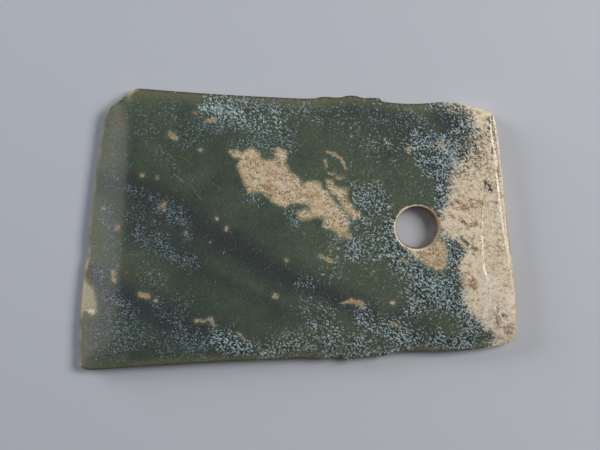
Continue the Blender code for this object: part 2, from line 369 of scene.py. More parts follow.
FLECK_CLOUDS = [
    (0.16, [(-66, 47, 9), (-55, 46, 10), (-44, 42, 9)]), (0.30, [(-63, 38, 3.5), (-57, 38, 3.5)]),
    (0.20, [(-50, 50, 5), (-49, 42, 4)]), (0.24, [(-55, 31, 4), (-50, 28, 4), (-48, 23, 3)]),
    (0.34, [(-45, 37, 6), (-39, 38, 6)]), (0.28, [(-50, 34, 3), (-43, 33, 4)]),
    (0.72, [(-36, 48, 5), (-30, 49, 7), (-25, 46, 7)]), (0.62, [(-24, 43, 5), (-20, 42.5, 4)]),
    (0.50, [(-21, 50, 6), (-14, 47, 7), (-8, 46, 6)]), (0.52, [(-36, 41, 5), (-30, 42, 4)]),
    (0.50, [(-20, 42, 4), (-16, 38, 6), (-12, 35, 6), (-10, 33, 5)]), (0.48, [(-6, 38, 6), (-4, 34, 5)]),
    (0.34, [(-3, 47, 5), (3, 47, 5)]), (0.26, [(6, 46, 6), (14, 44, 7)]),
    (0.20, [(18, 48, 5), (30, 46, 6), (40, 42, 6)]), (0.15, [(24, 38, 6), (36, 33, 7)]),
    (0.45, [(-26, 34, 3), (-19, 34, 3)]), (0.30, [(-74, 24, 2.5)]), (0.22, [(-78, 21, 3), (-73, 19, 5)]),
    (0.45, [(-78, 8, 3), (-75, 8, 3)]), (0.45, [(-79, 4, 2.5), (-74, 1, 3)]), (0.42, [(-82, -7, 3)]),
    (0.34, [(-75, -3, 4), (-74, -9, 4)]), (0.55, [(-81, -15, 3), (-78, -18, 4), (-75, -16, 4)]),
    (0.38, [(-80, -23, 4)]), (0.60, [(-77, -26, 4), (-73, -28, 4)]), (0.52, [(-70, -28, 3), (-67, -33, 4)]),
    (0.46, [(-74, -36, 7), (-70, -42, 7), (-72, -48, 6)]), (0.34, [(-80, -42, 6), (-79, -50, 5)]),
    (0.34, [(-68, 17, 3), (-63, 14, 3), (-57, 12, 3)]), (0.60, [(-53, 9, 4), (-49, 6, 5), (-45, 3, 4)]),
    (0.50, [(-64, -2, 5), (-61, -6, 4)]), (0.24, [(-66, 6, 6), (-58, 3, 5)]),
    (0.56, [(-56, -3, 4), (-53, -8, 5), (-48, -11, 4), (-42, -13, 3.5)]), (0.42, [(-44, -3, 3)]),
    (0.26, [(-64, -12, 3), (-58, -13, 3), (-59, -17, 5), (-54, -20, 5)]),
    (0.32, [(-61, -20, 4), (-56, -21, 4)]), (0.12, [(-72, 40, 7), (-70, 28, 6)]),
    (0.5, [(14, -50.5, 2.5), (26, -50.5, 2.5), (40, -48.5, 2.5)]), (0.40, [(-66, -38, 6), (-62, -44, 6)]),
    (0.28, [(-45, -27, 4), (-45, -33, 5)]), (0.34, [(-56, -29, 4), (-51, -34, 4)]),
    (0.32, [(-57, -44, 6), (-52, -48, 6)]), (0.50, [(-47, -38, 5), (-44, -46, 6), (-38, -46, 7)]),
    (0.60, [(-32, -43, 6), (-26, -46, 6), (-20, -48, 5)]),
    (0.45, [(-15, -49, 4), (-8, -48, 4), (0, -46, 5), (6, -48, 5)]), (0.30, [(-6, -43, 5), (0, -42, 6)]),
    (0.52, [(12, -46, 6), (18, -47, 5), (25, -46, 6)]), (0.32, [(3, -31, 5), (5, -36, 4)]),
    (0.70, [(7, -37, 3)]), (0.34, [(8, -42, 5), (14, -40, 4)]), (0.34, [(1, -22, 3), (5, -22, 3)]),
    (0.18, [(10, -18, 4), (16, -17, 4), (15, -12, 4)]), (0.28, [(12, -32, 5), (12, -35, 4)]),
    (0.55, [(26, -33, 4), (27, -38, 4)]), (0.55, [(21, -4, 6), (24, -8, 6)]), (0.34, [(15, -5, 4)]),
    (0.48, [(23, 16, 4), (26, 11, 5), (27, 4, 6)]), (0.44, [(30, 14, 6), (33, 8, 6)]),
    (0.36, [(-20, 15, 4), (-17, 12, 4)]), (0.42, [(-3, 8, 4), (0, 3, 3)]),
    (0.62, [(47, 38, 5), (46, 33, 4), (52, 35, 6), (58, 33, 5)]),
    (0.66, [(50, 28, 4), (56, 27, 6), (62, 32, 5)]), (0.28, [(43, 46, 5), (42, 40, 5)]),
    (0.36, [(49, 43, 4)]), (0.44, [(61, 47, 5), (66, 48, 4)]), (0.50, [(64, 42, 4), (67, 36, 4)]),
    (0.62, [(52, 22, 3), (57, 22, 4), (57, 16, 4), (58, 10, 4)]),
    (0.58, [(37, 2, 5), (38, -4, 5), (36, -8, 5)]), (0.66, [(38, -9, 4), (43, -11, 5), (47, -16, 6)]),
    (0.60, [(50, -22, 8), (58, -22, 8), (48, -30, 6)]), (0.52, [(62, -28, 6), (66, -34, 5), (70, -41, 5)]),
    (0.56, [(32, -38, 5), (38, -42, 7), (46, -44, 6)]), (0.54, [(55, -44, 5), (62, -46, 5), (69, -45, 5)]),
    (1.0, [(58, 34, 5), (62, 28, 5), (66, 24, 5)]), (0.6, [(66, 42, 5)]),
    (0.5, [(42, -14, 6), (52, -20, 10), (60, -28, 8)]), (0.62, [(61, -5, 4), (62, -12, 4)]),
    (0.4, [(30, -8, 5), (30, -2, 5)]),
]
BRIGHT_PLACES = [
    (1.0, [(-34, 50, 12), (-22, 46, 12), (-8, 42, 10)]),
    (1.0, [(-32, -44, 8), (-12, -50, 8), (8, -40, 7), (30, -42, 8)]),
]
DULL_PLACES = [(0.4, [(14, 46, 10), (30, 44, 11), (46, 42, 9), (58, 44, 8)])]
DARK_BANDS = [
    (0.95, [(-80, 18, 7), (-67, 17, 9), (-55, 10, 10), (-42, 2, 10), (-28, -6, 9), (-13, -14, 8), (0, -21, 7),
        (14, -26, 7), (28, -33, 6)]),
    (0.95, [(-83, -17, 6), (-77, -22, 7), (-69, -27, 8), (-58, -32, 9), (-48, -37, 9), (-36, -42, 9),
        (-24, -47, 8)]), (0.65, [(-64, 4, 8), (-53, -4, 9), (-42, -12, 7)]),
    (0.5, [(-52, -11, 3), (-38, -17, 4), (-22, -25, 4), (-8, -31, 3)]),
    (0.7, [(16, 49, 6), (33, 47, 9), (45, 43, 6)]), (0.5, [(14, 46, 8), (30, 42, 9), (44, 38, 8)]),
    (0.8, [(56, 48, 7), (62, 42, 7)]), (0.5, [(36, 32, 8), (44, 34, 5)]), (0.5, [(61, 46, 6), (63, 40, 5)]),
    (0.5, [(61, -4, 4), (62, -14, 4)]), (0.6, [(38, -34, 6), (52, -38, 5)]),
    (0.5, [(-72, 8, 7), (-60, 2, 8)]), (0.45, [(-8, -34, 6), (4, -34, 6), (12, -36, 6)]),
    (0.55, [(-80, -34, 9), (-76, -46, 9)]),
]
CREAM_PATCH = [
    (-27, 31), (-24, 31.5), (-21.5, 29.5), (-20, 31.5), (-17.5, 32), (-15.5, 30), (-14, 27.5), (-11, 27),
    (-8, 28), (-9, 30.5), (-7, 32), (-4.5, 30.5), (-5, 27.5), (-5.8, 26.3), (-4, 24.5), (-2.5, 22.5),
    (0, 20.5), (2, 17.5), (4, 18.5), (7, 19), (9, 18.5), (9.5, 16.5), (12, 14.5), (14, 12), (14.5, 10.5),
    (17, 8), (19.5, 5.5), (20.2, 3), (20, -2), (15, -0.5), (10.5, 1.5), (11.5, 4.2), (8.5, 5.2), (5.5, 4.6),
    (3, 4), (1, 4.8), (0.3, 6.5), (3, 7.8), (5, 7.2), (5.6, 8.4), (4, 10.2), (0, 11), (-3, 10.8), (-5, 9.3),
    (-7.5, 9.8), (-10, 11.5), (-12, 14), (-15, 15), (-19, 15), (-20.5, 18), (-21.5, 20), (-22, 22),
    (-23.5, 25), (-22, 28), (-25, 29.3),
]
CREAM_BRANCH = [
    (12, 19.3), (13.6, 19.4), (15, 16.5), (17, 16), (19.5, 16.2), (19.2, 13), (21, 10), (23.2, 7.5),
    (24.7, 6), (23.6, 4.5), (21, 5.6), (19, 8), (17.2, 10.8), (16, 13.4), (13.8, 14.8), (12.6, 17),
]
CREAM_BUTT = [
    (55.5, 50.8), (60, 49.2), (67.2, 45.7), (69, 40), (68.2, 33.7), (64.3, 28.5), (62, 25), (61.5, 20.5),
    (60.8, 15.7), (59.1, 9.7), (57.1, 5.7), (56.3, 1.7), (57, -2.7), (63.1, -4.3), (66, -7.1), (65.9, -11.5),
    (64.3, -16.3), (65.5, -22.3), (66.3, -27.5), (69.1, -33.1), (72.3, -37.1), (76.3, -40.3), (77.8, -43.1),
    (76, -46), (80, -60), (100, -50), (100, 60), (55, 60),
]
CREAM_BELOW_HOLE = [
    (44, -7), (48, -9), (52, -7.5), (56, -5), (58.5, -5), (59.5, -10), (59, -15), (55, -16), (50, -13),
    (46, -9.5),
]
SPECKLED_BUTT = [
    (1.0, [(64, 45, 8), (70, 36, 9), (68, 26, 9), (74, 38, 7)]), (0.7, [(76, 26, 5), (77, 18, 4)]),
    (0.8, [(68, -5, 3), (70, -8, 3)]), (0.6, [(71, -24, 3)]),
]
TAN_SPOTS = [
    (1.0, [(-35.5, 43, 1.7), (-32.5, 43.8, 1.5)]), (1.0, [(-50.5, 38, 1.9), (-48.3, 36.2, 1.5)]),
    (1.0, [(-38.5, 31.4, 1.4)]), (1.0, [(-61.8, 21.4, 1.5)]), (0.7, [(-55.8, 20.6, 1.0)]),
    (0.9, [(-62.3, -25.8, 1.8), (-59.4, -26.6, 2.0)]), (0.9, [(-56.3, -28.2, 1.5)]),
    (0.8, [(-73, -16.5, 1.3), (-73, -20, 2.0)]),
    (0.8, [(-40.6, -36.2, 1.4), (-37.5, -36.6, 1.2), (-34.5, -35.6, 1.5), (-33, -38.4, 1.1)]),
    (0.8, [(-8.5, -26.7, 1.9)]), (1.0, [(9, -10.6, 1.3), (13, -12.6, 1.4)]), (0.6, [(16, -11.6, 1.3)]),
    (1.0, [(18.3, -29.2, 0.8), (21.5, -28.6, 1.5), (25.5, -29.4, 1.8), (25.6, -31.5, 1.2)]),
    (0.9, [(-4.4, -12.3, 1.5)]), (0.9, [(44.7, 31.7, 1.6)]), (0.9, [(56.4, 34.6, 1.8), (57.8, 33.2, 1.2)]),
    (0.6, [(-53.6, 8.8, 2.6), (-52.4, 10.6, 1.5)]), (0.7, [(-77.3, 8.4, 1.4)]), (0.9, [(-71.5, 0.8, 1.9)]),
    (0.7, [(-44.4, -1.6, 1.5)]), (0.8, [(-31.8, 4.4, 1.2)]), (0.9, [(-34.6, -5.2, 0.9)]),
    (0.9, [(-28, 0.2, 1.4)]),
    (0.95, [(11.7, 30.9, 0.7), (14.5, 30, 0.9), (17.5, 28.2, 1.0), (18.6, 26.4, 0.8), (19.2, 24, 0.7)]),
    (0.95, [(11.2, 27.2, 0.9), (11.4, 24.6, 1.0)]), (0.9, [(12.2, 22.2, 0.9), (14.6, 22, 1.2)]),
    (0.8, [(16, 20.8, 1.0), (18.4, 20.6, 1.0)]), (0.7, [(21.8, 37.2, 1.3)]), (0.6, [(24.5, 40, 1.2)]),
    (0.6, [(23, 42, 0.8)]), (0.9, [(34.6, 35.6, 0.9), (35.2, 36.3, 0.7)]), (0.8, [(63.5, 38.2, 1.0)]),
    (0.8, [(41.8, -11.8, 1.6), (44, -13.6, 1.4)]), (0.7, [(53.5, -24, 1.5)]), (0.7, [(38, -29.5, 1.8)]),
    (0.7, [(37.6, -38, 1.3), (40.5, -38.4, 1.1)]), (0.8, [(17, -2, 2.5), (20, -2.6, 2.5)]),
    (0.6, [(13.3, -8.2, 1.5)]), (0.7, [(16, -7.8, 0.9)]), (0.6, [(3, -1.6, 0.9)]),
    (0.6, [(-13.4, -5.2, 0.8)]), (0.7, [(-21, -44, 1.3), (-24, -41, 1.0)]), (0.6, [(44.5, -18.5, 2.0)]),
    (0.6, [(30, -17, 1.5)]), (0.5, [(-67, 51.8, 1.5)]), (0.6, [(-41, 46.5, 1.0)]),
]
RUST_SPOTS = [
    (1.0, [(-71.5, 0.4, 1.3)]), (0.45, [(-71.6, 44.6, 0.9), (-70.8, 42, 1.0)]), (0.9, [(-60, 43.5, 0.9)]),
    (0.7, [(-56.2, 38.4, 0.7)]), (0.8, [(-41, 46.3, 1.0)]), (1.0, [(-68, -17.2, 0.7)]),
    (0.9, [(-76.6, -14.8, 0.7)]), (0.9, [(-82.4, -47.4, 0.8)]), (0.8, [(-70.3, -4, 0.6)]),
    (0.8, [(-63.6, -18, 1.1)]), (1.0, [(72, 46.4, 0.9)]), (1.0, [(68, 34.2, 1.0)]), (0.9, [(65.3, 33, 0.8)]),
    (1.0, [(60.7, 19.6, 1.0)]), (0.7, [(73, 35.5, 1.0)]), (0.9, [(14, 1.6, 0.8)]), (0.8, [(19, 12.4, 0.8)]),
    (0.9, [(-5, 12.8, 0.9)]), (0.6, [(-12.6, 17, 2.3)]), (0.6, [(-10, 14.5, 1.8)]), (0.6, [(8, 13.5, 1.8)]),
    (0.5, [(3, 13.5, 1.5)]), (0.8, [(85.5, -25.2, 0.8)]), (0.6, [(62, 5.8, 1.2)]), (0.5, [(67, 8.5, 3)]),
    (0.6, [(70.5, -22, 3.0)]), (0.5, [(66, -20, 2.5)]), (0.6, [(86, -31, 1.5)]), (0.5, [(-50, 38, 1.4)]),
    (0.5, [(-77, 8, 1.0)]), (0.5, [(34.5, 35, 0.8)]), (0.7, [(56, -17.5, 1.0)]), (0.6, [(52.5, -13.5, 1.5)]),
]
# Mostly pale weathered stone; the clouds along the butt's right rim and outer ridge are a painted highlight.
WHITE_AND_HIGHLIGHT_CLOUDS = [
    (0.8, [(80, -32, 4), (84, -38, 4)]), (0.6, [(79, 8, 5), (83, 0, 3)]), (0.7, [(74, 3, 3), (76, -1, 4)]),
    (0.6, [(85, -14, 2), (86, -26, 2)]), (0.6, [(53, -10, 2.5)]), (0.7, [(-5, 17, 3), (-3, 14.5, 2.5)]),
    (0.6, [(-19.2, 18.2, 1.2)]), (0.6, [(-0.6, 19.8, 1.0)]), (0.65, [(76, -20, 8), (80, -36, 10)]),
    (0.7, [(78, 14, 5)]), (0.5, [(70, 12, 5)]),
]
BROWN_STAINS = [
    (0.8, [(61, 9, 2), (66, 9.5, 3), (72, 10, 3), (77, 12, 2)]), (0.7, [(66, 3.5, 2), (70, 1.5, 3)]),
    (0.8, [(67, -19, 3), (70, -23, 3)]), (0.6, [(56, -13, 3)]), (0.5, [(80, -33, 6), (84, -40, 5)]),
    (0.5, [(-11, 17, 3.5)]), (0.4, [(5, 13, 4)]), (0.5, [(76, -6, 2), (81, -8, 3)]),
    (0.5, [(70, 35, 6), (72, 28, 6)]),
]
DARK_CLUSTERS = [
    (1.0, [(76.3, 43.5, 1.8), (76.8, 40.5, 1.4)]), (1.0, [(74.5, 18.6, 1.5), (77.6, 15.6, 1.7)]),
    (0.9, [(65.5, -3.2, 1.5), (68.8, -6, 1.8), (71.6, -8.6, 1.4)]),
    (0.8, [(77.5, 33, 1.3), (77.8, 30.5, 1.2)]), (0.7, [(60, -18, 1.6), (63, -21, 1.5)]),
    (0.8, [(76, -41.5, 1.5), (78, -43.5, 1.2)]), (0.6, [(82, -3, 1.1)]), (0.7, [(70.5, 44.5, 1.1)]),
    (0.6, [(72.5, 24, 1.0)]), (0.5, [(64, 13.5, 1.2)]),
]
EDGE_CHIP = [
    (-86.8, -20.5), (-84.6, -21), (-81.5, -24), (-80.6, -28), (-80.2, -31), (-80.6, -33), (-82, -34),
    (-83.6, -33), (-84.6, -32.4), (-87, -33.5),
]
UNDER_CLOUDS = [
    (0.4, [(-60, 30, 16), (-38, 18, 12), (-20, -2, 10)]), (0.5, [(0, 30, 12), (22, 38, 10)]),
    (0.45, [(-50, -30, 14), (-24, -36, 10)]), (0.5, [(20, -30, 12), (45, -32, 14)]),
    (0.55, [(50, 25, 12), (62, 10, 10)]), (0.3, [(-72, 0, 12)]), (0.45, [(30, 5, 10)]),
]
UNDER_BANDS = [
    (0.8, [(-80, 34, 9), (-50, 16, 10), (-20, -6, 10), (10, -20, 9)]),
    (0.7, [(-30, 46, 8), (10, 24, 9), (30, 18, 8)]),
]
UNDER_BUTT = [
    (64, 60), (62, 48), (66, 40), (63, 30), (66, 20), (64, 8), (68, -4), (66, -14), (70, -26), (68, -36),
    (73, -46), (74, -60), (100, -60), (100, 60),
]
UNDER_PATCH = [(-14, -20), (-6, -16), (2, -17), (7, -22), (3, -26), (-4, -25), (-10, -27), (-15, -24)]
DRIFT_SEED = 7
WORN_EDGE = [(-86, -27, 9), (-84.5, -14, 4), (-66, 55, 4)]
CHIP_MIDDLE = -30.5
BEVEL_END = -68
BARE_COVER = 0.06
CLOUD_COVER = 0.74


def cloud_cover(points, clouds, core=0.3, spread=1.0):
    """How strongly the clouds cover each point, by the strongest of them."""
    cover = np.zeros(len(points))
    for strength, line in clouds:
        away = np.full(len(points), np.inf)
        for (x0, y0, r0), (x1, y1, r1) in zip(line, line[1:] or line):
            run = np.array((x1 - x0, y1 - y0))
            from_start = points - (x0, y0)
            share = np.clip(from_start @ run / max(run @ run, 1e-9), 0, 1)
            reach = np.hypot(*(from_start - share[:, None] * run).T)
            away = np.minimum(away, reach / (r0 + (r1 - r0) * share) / spread)
        cover = np.maximum(cover, strength * eased((1 - away) / (1 - core)))
    return cover


def depth_inside(points, outline):
    """How far each point lies inside a closed outline, below zero where it is outside."""
    nearest = np.full(len(points), np.inf)
    inside = np.zeros(len(points), bool)
    for (x0, y0), (x1, y1) in zip(outline, outline[1:] + outline[:1]):
        run = np.array((x1 - x0, y1 - y0))
        from_start = points - (x0, y0)
        share = np.clip(from_start @ run / (run @ run), 0, 1)
        nearest = np.minimum(nearest, np.hypot(*(from_start - share[:, None] * run).T))
        if y0 != y1:
            crosses = (y0 > points[:, 1]) != (y1 > points[:, 1])
            inside ^= crosses & (points[:, 0] < x0 + (points[:, 1] - y0) * (x1 - x0) / (y1 - y0))
    return np.where(inside, nearest, -nearest)


def drift(points, size, reach, seed):
    """The points moved about by smooth noise, so that outlines drawn on them wander."""
    moves = [noise.noise_vector(Vector((x / size, y / size, seed))) for x, y in points]
    return points + reach * np.array(moves)[:, :2]


def faded(depth, width, lead=0.5):
    """How far a patch covers each point: its border has a width in mm and is led outwards."""
    return eased(depth / width + lead)


place_x, place_y = place.T
noise.seed_set(DRIFT_SEED)
loose_place = drift(drift(place, 9, 1.5, 2.0), 3.2, 0.9, 5.0)
close_place = drift(place, 2.2, 0.65, 8.0)
patch_depth = np.maximum(depth_inside(close_place, CREAM_PATCH), depth_inside(close_place, CREAM_BRANCH))
butt_depth = depth_inside(loose_place, CREAM_BUTT)
below_hole = depth_inside(close_place, CREAM_BELOW_HOLE)
chip_depth = depth_inside(close_place, EDGE_CHIP)
tan = cloud_cover(close_place, TAN_SPOTS, 0.1)
speckled = cloud_cover(loose_place, SPECKLED_BUTT)

butt_cover = faded(butt_depth, 2 * (3.8 + 4.3 * eased((place_y - 12) / 14)))
cover = np.maximum.reduce([
    BARE_COVER + CLOUD_COVER * cloud_cover(loose_place, FLECK_CLOUDS, 0.0, 1.4),
    butt_cover * (1.25 - 0.42 * speckled), 1.08 * faded(patch_depth, 2.3), faded(below_hole, 3.4),
    0.85 * faded(chip_depth, 0.8) * eased((CHIP_MIDDLE - place_y) / 3),
])
cover = cover * (1 - 0.8 * faded(chip_depth, 1.5) * eased((place_y - CHIP_MIDDLE) / 3))
cover = np.maximum(cover, 0.72 * tan)
warm = np.maximum.reduce([
    faded(butt_depth, 9 + 7 * eased((place_y - 5) / 20), 0.45), faded(patch_depth, 2.0, 0.8),
    faded(below_hole, 4, 0.6), tan, faded(chip_depth, 0.8, 0.9) * eased((CHIP_MIDDLE + 1 - place_y) / 3),
])
dark = 0.9 * cloud_cover(loose_place, DARK_BANDS, 0.0, 1.35)
# Painted light: the stone is lightened to olive towards its thin edges and over the bevel, as light glows
# through it.
on_bevel = place_x < BEVEL_END
edge_width = np.where(on_bevel, 17.0, np.where(place_y > 0, 6.0, 4.5))
thin_edge_glow = eased(1 - from_rim / edge_width) * np.where(on_bevel, 0.7, 1.0)
bright = np.maximum(0.31 + 0.59 * eased((place_x + 45) / 85), cloud_cover(place, BRIGHT_PLACES, 0.0, 1.3))
bright = bright * (1 - cloud_cover(place, DULL_PLACES, 0.0, 1.2))
halo = np.maximum.reduce([
    0.5 * faded(patch_depth, 2.4, 0.8), 0.6 * faded(below_hole, 4, 0.8), 0.5 * faded(chip_depth, 4.0, 0.7),
    0.3 * cloud_cover(close_place, TAN_SPOTS, 0.0, 1.7),
])

under_butt = depth_inside(loose_place, UNDER_BUTT)
under_patch = depth_inside(close_place, UNDER_PATCH)
under_cover = np.maximum.reduce([
    cloud_cover(loose_place, UNDER_CLOUDS, 0.0), faded(under_butt, 8), faded(under_patch, 2),
])
under_warm = np.maximum(faded(under_butt, 9, 0.45), faded(under_patch, 2, 0.7))
under_dark = cloud_cover(loose_place, UNDER_BANDS, 0.0)


def rim_band(width):
    """1 at the rim, falling to 0 at a width in mm."""
    return 1 - eased(from_rim / width)


facing_x, facing_y = rim_facing[[rim_tree.find((x, y, 0))[1] for x, y in place]].T
edge_line = np.maximum.reduce([
    rim_band(0.7) * (facing_x < -0.8) * np.clip(0.35 + 1.2 * grain(place, 6.0, 3.0), 0, 1),
    rim_band(1.2) * near_places(place * MM, WORN_EDGE),
    0.7 * rim_band(0.5) * (facing_x > 0.8) * eased((8 - place_y) / 10),
])

point_number = np.arange(len(place))
on_under = (point_number >= upper_count) & (point_number < upper_count + len(under))
from_axis = np.hypot(*(place - HOLE_CENTRE / MM).T)
near_ridges = np.maximum(eased((ridge_side + 1.8) / 1.2), 1 - eased((step_away - 0.8) / 0.8)) * (place_x > 66)
ground = eased((from_rim - 0.3) / 1.6) * eased((from_axis - 9.2) / 0.8) * (1 - near_ridges)
ground = ground * (on_upper | on_under)
cove = eased((cove_share - 0.12) / 0.12) * eased((0.80 - cove_share) / 0.12) * eased((place_y - 6) / 12)
crest = np.maximum(eased(1 - np.abs(cove_share - 0.08) / 0.2), eased(1 - np.abs(cove_share - 0.76) / 0.14))
ridge = np.maximum(crest * near_butt, (1 - eased((step_away - 0.2) / 0.7)) * (step_side != 0) * on_upper)

under_share = (1 - eased(height / MM / 5.0)) * ~on_upper
on_both = {"pale": (cover, under_cover), "warm": (warm, under_warm), "dark": (dark, under_dark)}
traits = {
    name: upper_one + (under_one - upper_one) * under_share
    for name, (upper_one, under_one) in on_both.items()
}
only_upper = {
    "tan": np.maximum.reduce([tan, 0.2 * eased(patch_depth + 0.9), 0.3 * eased(below_hole)]),
    "rust": cloud_cover(close_place, RUST_SPOTS, 0.0),
    "white_and_highlight": cloud_cover(loose_place, WHITE_AND_HIGHLIGHT_CLOUDS, 0.0),
    "stain": cloud_cover(loose_place, BROWN_STAINS, 0.0),
    "cluster": cloud_cover(close_place, DARK_CLUSTERS, 0.0, 1.25),
    "chip": faded(chip_depth, 1.6, 0.45) * eased((place_y + 34) / 2),
    "patchy": np.maximum(eased(patch_depth + 0.8), eased(below_hole + 0.8)),
    "speckled": speckled,
    "halo": halo,
    "cove": cove * near_butt,
    "ridge": ridge,
}
traits.update({name: values * (1 - under_share) for name, values in only_upper.items()})
traits.update({
    "thin_edge_glow": thin_edge_glow,
    "bright": bright,
    "ground": ground,
    "edge_line": edge_line,
    # Painted shade: a dark line along the walls of the top and bottom edges.
    "rim_shade_line": 0.7 * rim_band(0.6) * (np.abs(facing_y) > 0.7),
    "pit": np.where(on_upper, 0.35 + 0.45 * eased((place_x - 15) / 30), 0.5),
    "side": on_upper * 1.0 - on_under * 1.0,
})
for name, values in traits.items():
    blade_mesh.attributes.new(name, "FLOAT", "POINT").data.foreach_set("value", values.astype(np.float32))

# The polish and the weathered skin
# The stone is ground and polished to a low sheen. Its flecks are slightly duller, the weathered cream
# is matt and finely pitted, a few fine scratches cross it, a painted shade line lies beside the butt's
# low step, and the drilled hole has a pale worn lip.


def node(tree, kind, **settings):
    """A new node of one kind, with its settings."""
    made = tree.nodes.new(kind)
    for name, value in settings.items():
        setattr(made, name, value)
    return made


class Wiring:
    """Adds nodes to one tree. What goes into them is a number, a colour or another node's outlet."""

    def __init__(self, tree):
        self.tree = tree

    def put(self, socket, value):
        if isinstance(value, bpy.types.NodeSocket):
            self.tree.links.new(value, socket)
        else:
            socket.default_value = value

    def maths(self, operation, first, second=0.5, third=0.5, clamp=False):
        made = node(self.tree, "ShaderNodeMath", operation=operation, use_clamp=clamp)
        for socket, value in zip(made.inputs, (first, second, third)):
            self.put(socket, value)
        return made.outputs[0]

    def times(self, first, *others):
        for other in others:
            first = self.maths("MULTIPLY", first, other)
        return first

    def swing(self, value, reach, middle, about=0.5):
        """The middle value, moved up or down by a reach as the given value leaves its own middle."""
        return self.maths("MULTIPLY_ADD", self.maths("SUBTRACT", value, about), reach, middle)

    def ramp(self, value, low, high, start=0.0, end=1.0):
        made = node(self.tree, "ShaderNodeMapRange", interpolation_type="SMOOTHSTEP")
        for socket, given in zip(made.inputs, (value, low, high, start, end)):
            self.put(socket, given)
        return made.outputs[0]

    def mix(self, share, first, second, blend="MIX"):
        made = node(self.tree, "ShaderNodeMix", data_type="RGBA", blend_type=blend)
        for socket, value in zip((made.inputs["Factor"], *made.inputs[6:8]), (share, first, second)):
            self.put(socket, value)
        return made.outputs[2]

    def vector(self, operation, *values, outlet="Vector"):
        made = node(self.tree, "ShaderNodeVectorMath", operation=operation)
        for socket, value in zip(made.inputs, values):
            self.put(socket, value)
        return made.outputs[outlet]

    def parts(self, at):
        made = node(self.tree, "ShaderNodeSeparateXYZ")
        self.put(made.inputs[0], at)
        return made.outputs

    def trait(self, name):
        return node(self.tree, "ShaderNodeAttribute", attribute_name=name).outputs["Fac"]

    def lumps(self, at, size, detail=1.0, rough=0.5, distortion=0.0, outlet="Fac"):
        """Noise with lumps of one size."""
        made = node(self.tree, "ShaderNodeTexNoise")
        scale = self.maths("DIVIDE", 1.0, size) if isinstance(size, bpy.types.NodeSocket) else 1 / size
        inlets = ("Vector", "Scale", "Detail", "Roughness", "Distortion")
        for name, value in zip(inlets, (at, scale, detail, rough, distortion)):
            self.put(made.inputs[name], value)
        return made.outputs[outlet]


SCRATCH_AND_SHADE_WIDTH = 0.3 * MM
SCRATCHES_AND_SHADE_LINES = [
    (-46.3, 29.6, -40.8, 26.6, (0.30, 0.16, 0.07, 1)), (-48.5, 22.4, -44.8, 19.4, (0.34, 0.42, 0.38, 1)),
    (-35, 20.5, -30.5, 16.5, (0.30, 0.22, 0.10, 1)), (-28, -6, -29.2, -10.4, (0.40, 0.46, 0.44, 1)),
    (-41, 17, -37.5, 12, (0.32, 0.26, 0.13, 1)), (19, -11.4, 26, -10.6, (0.34, 0.27, 0.13, 1)),
    (12, -5.5, 19, -9.5, (0.34, 0.27, 0.13, 1)), (63.2, 7.9, 70.7, 9.6, (0.17, 0.085, 0.04, 1)),
    (64.7, 5.9, 69.7, 1.9, (0.17, 0.085, 0.04, 1)), (67, 1.4, 71.4, -1.4, (0.15, 0.085, 0.045, 1)),
    (67.5, 6, 70.4, 3.4, (0.17, 0.09, 0.045, 1)), (63.7, 8.8, 67.4, 10.8, (0.20, 0.11, 0.055, 1)),
    # Painted shade: these two dark lines lie beside the butt's low step.
    (75.3, 17, 74.1, 9.5, (0.22, 0.11, 0.06, 1)), (74.1, 9.5, 73.3, 0.5, (0.26, 0.14, 0.085, 1)),
    (61.5, 5.4, 66.5, 3.6, (0.20, 0.11, 0.055, 1)),
]
GRAIN_SLANT = math.radians(-33)
GRAIN_STRETCH = (1.35, 0.92, 1)
DEEP_GREEN = (0.070, 0.094, 0.070, 1)
CLEAR_GREEN = (0.104, 0.131, 0.092, 1)
NAVY_SHADE = (0.047, 0.054, 0.060, 1)
# Painted glow of light through the thin stone at the edges.
OLIVE_EDGE_GLOW = (0.165, 0.168, 0.105, 1)
SKIN_PIT = (0.028, 0.036, 0.042, 1)
FLECK_BRIGHT = (0.655, 0.78, 0.79, 1)
FLECK_DULL = (0.110, 0.172, 0.212, 1)
CREAM_LIGHT = (1.0, 0.855, 0.64, 1)
CREAM_MID = (0.48, 0.345, 0.20, 1)
BUTT_BROWN = (0.38, 0.28, 0.195, 1)
BUTT_GREY = (0.27, 0.26, 0.22, 1)
CREAM_SPECK = (0.15, 0.105, 0.068, 1)
TAN = (0.54, 0.36, 0.15, 1)
RUST_SPECK = (0.34, 0.20, 0.08, 1)
RUST = (0.42, 0.15, 0.04, 1)
WHITE_AND_HIGHLIGHT = (0.95, 0.88, 0.79, 1)
VEIN_BROWN = (0.21, 0.11, 0.055, 1)
SWIRL_ORANGE = (0.46, 0.28, 0.12, 1)
CRUMB_ORANGE = (0.60, 0.27, 0.07, 1)
CRUMB_GREY = (0.10, 0.10, 0.10, 1)
STAIN = (0.36, 0.23, 0.14, 1)
CHIP_PALE = (0.47, 0.43, 0.28, 1)
HALO_TAN = (0.36, 0.35, 0.22, 1)
EDGE_ORANGE = (0.62, 0.42, 0.24, 1)
